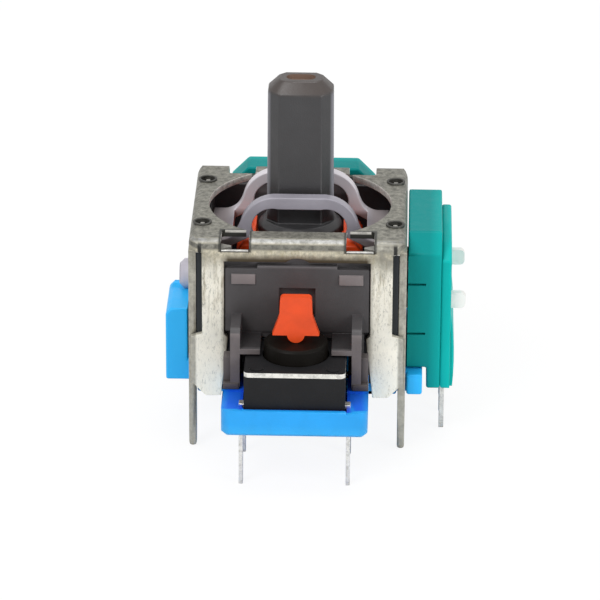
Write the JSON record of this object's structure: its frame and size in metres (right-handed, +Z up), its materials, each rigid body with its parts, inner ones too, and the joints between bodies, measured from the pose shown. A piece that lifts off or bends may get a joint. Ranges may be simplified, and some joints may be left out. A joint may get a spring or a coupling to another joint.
{
  "type": "two-axis analog stick module",
  "caption": "Board-mounted two-axis analog stick: sprung shaft in crossed gimbal arms, folded steel frame, rotary potentiometers and a push switch.",
  "frame": {"origin": "on the underside of the base, where the circuit board's top face is, straight below the stick's pivot", "axes": "+X to the side potentiometer, +Y to the rear potentiometer, away from the push switch, +Z up along the stick"},
  "size_m": [0.0185, 0.0224, 0.0223],
  "materials": {
    "tinned_steel": "tinned, dull and mottled",
    "dark_plastic": "moulded, satin",
    "blue_plastic": "moulded, satin",
    "spring_steel": "drawn wire",
    "black_plastic": "moulded",
    "switch_metal": "plated",
    "pin_metal": "tinned",
    "orange_plastic": "moulded, satin",
    "stick_plastic": "moulded, satin",
    "lavender_plastic": "translucent, moulded",
    "green_plastic": "moulded, satin",
    "board_brown": "phenolic board",
    "rotor_plastic": "moulded",
    "contact_brass": "sprung contact"
  },
  "bodies": {
    "root": {"frame_shell": "tinned_steel", "housing": "dark_plastic", "base": "blue_plastic", "return_spring": "spring_steel", "switch_case": "black_plastic", "switch_cover": "switch_metal", "switch_dome": "spring_steel", "switch_terminal_right": "pin_metal", "switch_terminal_left": "pin_metal", "side_pot_body": "green_plastic", "side_pot_cover": "green_plastic", "side_pot_board": "board_brown", "side_pot_terminal_1": "pin_metal", "side_pot_terminal_2": "pin_metal", "side_pot_terminal_3": "pin_metal", "rear_pot_body": "green_plastic", "rear_pot_cover": "green_plastic", "rear_pot_board": "board_brown", "rear_pot_terminal_1": "pin_metal", "rear_pot_terminal_2": "pin_metal", "rear_pot_terminal_3": "pin_metal"},
    "seat": {"spring_seat": "dark_plastic"},
    "lower_gimbal": {"lower_arm": "orange_plastic"},
    "lever": {"stick": "stick_plastic"},
    "upper_gimbal": {"upper_arm": "lavender_plastic", "side_pot_rotor": "rotor_plastic", "side_pot_wiper": "contact_brass"},
    "rear_rotor": {"rear_pot_rotor": "rotor_plastic", "rear_pot_wiper": "contact_brass"},
    "plunger": {"switch_plunger": "black_plastic"}
  },
  "joints": [
    {"name": "press", "type": "hinge", "parent": "root", "child": "seat", "pos_m": [0, 0.0062, 0.0056], "axis": [1, 0, 0], "range_deg": [0, 0.9581], "stiffness_Nm_per_rad": 0.5, "deforming": ["return_spring"]},
    {"name": "tilt_side", "type": "hinge", "parent": "seat", "child": "lower_gimbal", "pos_m": [0, 0, 0.0056], "axis": [0, 1, 0], "range_deg": [-20, 20], "stiffness_Nm_per_rad": 0.004},
    {"name": "tilt_fore", "type": "hinge", "parent": "lower_gimbal", "child": "lever", "pos_m": [0, 0, 0.0056], "axis": [1, 0, 0], "range_deg": [-20, 20], "stiffness_Nm_per_rad": 0.004},
    {"name": "upper_gimbal_turn", "type": "hinge", "parent": "root", "child": "upper_gimbal", "pos_m": [0, 0, 0.0056], "axis": [1, 0, 0], "range_deg": [-20, 20]},
    {"name": "rear_rotor_turn", "type": "hinge", "parent": "root", "child": "rear_rotor", "pos_m": [0, 0.0073, 0.0056], "axis": [0, 1, 0], "range_deg": [-20, 20]},
    {"name": "plunger_travel", "type": "slide", "parent": "root", "child": "plunger", "axis": [0, 0, -1], "range_m": [0, 0.00026]}
  ],
  "couplings": [
    {"joint": "upper_gimbal_turn", "follows": "tilt_fore", "ratio": 1},
    {"joint": "rear_rotor_turn", "follows": "tilt_side", "ratio": 1},
    {"joint": "plunger_travel", "follows": "press", "m_per_rad": 0.01495}
  ]
}
